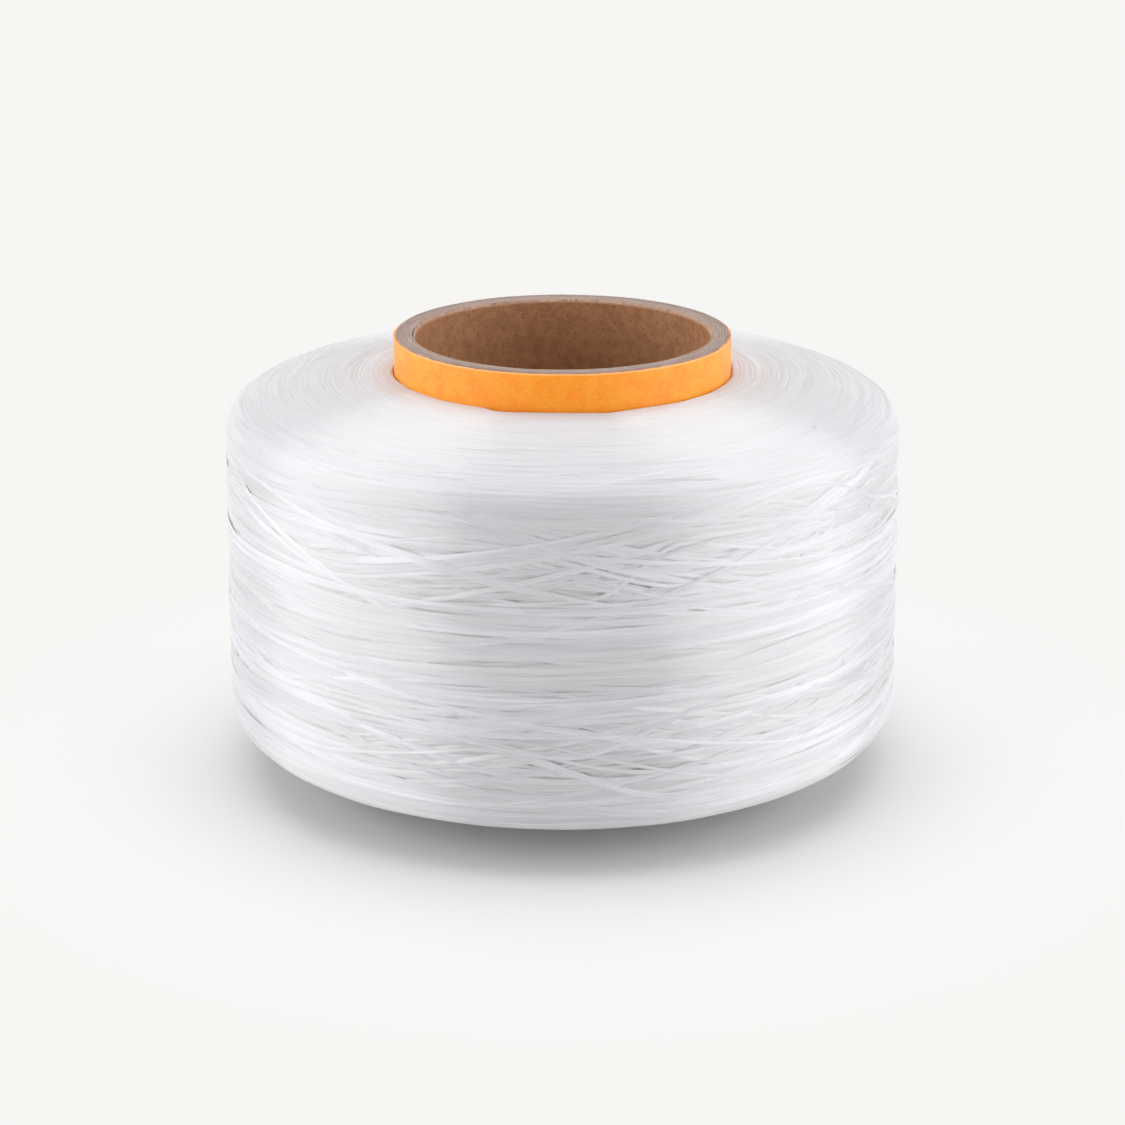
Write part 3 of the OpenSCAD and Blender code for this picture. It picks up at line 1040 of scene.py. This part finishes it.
def tape_material():
    """Orange paper tape: cloudy dye, pale matted fibres, pale cut edges."""
    looks = {"Roughness": 0.5, "Specular IOR Level": 0.2, "Coat Weight": 0.60,
             "Coat Roughness": 0.42}
    material, tree, shader = new_material("paper_tape", looks)
    where = position(tree)
    clouds = ramp(tree, noise(tree, where, 0.28, 3.0, 0.6), 0.38, 0.62)
    colour = mix_colour(tree, clouds, TAPE_DEEP, TAPE)
    fibres = noise(tree, stretched(tree, where, (1.0, 1.0, 1.5)), 1.25, 4.0, 0.72, 1.6)
    colour = mix_colour(tree, ramp(tree, fibres, 0.46, 0.64, 0.0, 0.30), colour, TAPE_PALE)
    hairs = noise(tree, stretched(tree, where, (1.6, 1.6, 7.0)), 1.0, 2.0, 0.65)
    colour = mix_colour(tree, ramp(tree, hairs, 0.55, 0.68, 0.0, 0.95), colour, TAPE_PALE)
    dots = ramp(tree, noise(tree, where, 2.3, 1.0), 0.70, 0.80, 0.0, 0.4)
    colour = mix_colour(tree, dots, colour, TAPE_CUT)
    height = cylindrical(tree, where)[2]
    cut = ramp(tree, height, TAPE_TOP - 0.19, TAPE_TOP - 0.05, 0.0, 0.7)
    colour = mix_colour(tree, cut, colour, TAPE_CUT)
    paint(tree, shader, colour, fibres, 0.05)
    return material


# ---------------- stage
# The floor and the lights are in metres.
PAPER = (0.930, 0.922, 0.905)
FLOOR_HALF = 6  # half its side
FLOOR_LOOKS = {"Base Color": (0.79, 0.785, 0.78, 1), "Roughness": 0.9,
               "Specular IOR Level": 0.1}
SHADOW_R, PAPER_R = 0.050, 0.122  # from the one to the other the floor fades to paper


def seen_or_mirrored(tree, mirrored_share):
    """1 for what the camera sees, and a share of it for what gloss and glass show of it."""
    ray = add(tree, "ShaderNodeLightPath").outputs
    mirrored = add(tree, "ShaderNodeMath", ray["Is Glossy Ray"], ray["Is Transmission Ray"],
                   operation="ADD", use_clamp=True).outputs[0]
    return add(tree, "ShaderNodeMath", mirrored, mirrored_share, ray["Is Camera Ray"],
               operation="MULTIPLY_ADD", use_clamp=True).outputs[0]


def build_floor():
    """A wide floor with the spool's shadow. Away from that the camera sees plain paper."""
    half = FLOOR_HALF
    corners = [(-half, -half, 0), (half, -half, 0), (half, half, 0), (-half, half, 0)]
    floor = bpy.data.objects.new("floor", bpy.data.meshes.new("floor"))
    floor.data.from_pydata(corners, [], [(0, 1, 2, 3)])
    bpy.context.scene.collection.objects.link(floor)
    material, tree, shader = new_material("floor", FLOOR_LOOKS)
    where = add(tree, "ShaderNodeTexCoord").outputs["Object"]
    away = add(tree, "ShaderNodeVectorMath", where, operation="LENGTH").outputs["Value"]
    far = add(tree, "ShaderNodeMath", ramp(tree, away, SHADOW_R, PAPER_R),
              seen_or_mirrored(tree, 1.0), operation="MULTIPLY").outputs[0]
    paper = add(tree, "ShaderNodeEmission", (*PAPER, 1)).outputs[0]
    mixed = add(tree, "ShaderNodeMixShader", far, shader.outputs[0], paper).outputs[0]
    tree.links.new(mixed, tree.nodes["Material Output"].inputs[0])
    assign(floor, material)


def area_light(name, at, aim, size, power):
    """A soft box that faces aim."""
    data = bpy.data.lights.new(name, "AREA")
    data.shape = "RECTANGLE"
    data.size, data.size_y = size
    data.energy = power
    lamp = bpy.data.objects.new(name, data)
    bpy.context.scene.collection.objects.link(lamp)
    lamp.location = at
    direction = Vector(aim) - Vector(at)
    lamp.rotation_euler = direction.to_track_quat("-Z", "Y").to_euler()


SIDE_BOX_TURN = math.radians(73)  # from the camera's side
SIDE_BOX_AWAY, SIDE_BOX_UP = 0.60, 0.21


def build_lights():
    """A soft box at each side and one above."""
    for name, side in (("left_box", -1), ("right_box", 1)):
        at = (side * SIDE_BOX_AWAY * math.sin(SIDE_BOX_TURN),
              -SIDE_BOX_AWAY * math.cos(SIDE_BOX_TURN), SIDE_BOX_UP)
        area_light(name, at, (0, 0, 0.05), (0.86, 0.50), 3.85)
    area_light("top_box", (0, 0.13, 0.85), (0, 0, 0.04), (1.2, 1.2), 6.3)


STUDIO_GREY = (0.92, 0.92, 0.93)


def build_world():
    """A studio, dim in front of the object, pale behind it, and paper to the camera."""
    world = bpy.data.worlds.new("studio")
    bpy.context.scene.world = world
    world.use_nodes = True
    tree = world.node_tree
    background = tree.nodes["Background"]
    where = add(tree, "ShaderNodeTexCoord").outputs["Generated"]
    behind = add(tree, "ShaderNodeSeparateXYZ", where).outputs["Y"]
    shown = seen_or_mirrored(tree, ramp(tree, behind, 0.2, 0.9))
    tree.links.new(mix_colour(tree, shown, STUDIO_GREY, PAPER), background.inputs["Color"])
    level = add(tree, "ShaderNodeMix", Factor=shown, A=ramp(tree, behind, -0.4, 0.75, 0.15, 0.70),
                B=1.0).outputs[0]
    tree.links.new(level, background.inputs["Strength"])


TARGET_Z = 34.2  # the camera looks at this height on the axis
CAMERA_AWAY = 460.0
CAMERA_UP = math.radians(18.65)


def build_camera():
    """The photograph's view."""
    data = bpy.data.cameras.new("camera")
    data.lens = 83.1
    data.sensor_width = 36
    data.sensor_fit = "HORIZONTAL"
    camera = bpy.data.objects.new("camera", data)
    bpy.context.scene.collection.objects.link(camera)
    camera.location = (0, -CAMERA_AWAY * math.cos(CAMERA_UP) * MM,
                       (TARGET_Z + CAMERA_AWAY * math.sin(CAMERA_UP)) * MM)
    camera.rotation_euler = (math.pi / 2 - CAMERA_UP, 0, 0)
    bpy.context.scene.camera = camera


# ---------------- build
thread = thread_material()
runs, mean_top, ground = build_thread()
for obj in runs:
    assign(obj, thread)
assign(build_bed(mean_top, ground), bed_material())

paper_rng = np.random.default_rng(5)
kraft = kraft_material()
assign(build_ply("liner_ply", BORE_R, paper_rng), kraft)
inside = outer_radius("liner_ply") + GLUE_T
for k, (node, tone) in enumerate(BOARD_TONES.items(), start=1):
    assign(build_ply(node, inside, paper_rng), board_material(f"board_{k}", tone))
    inside = outer_radius(node) + GLUE_T
assign(build_fibres(paper_rng), kraft)
assign(build_tape(paper_rng), tape_material())

build_floor()
build_lights()
build_world()
build_camera()
bpy.context.scene.view_settings.view_transform = "Standard"
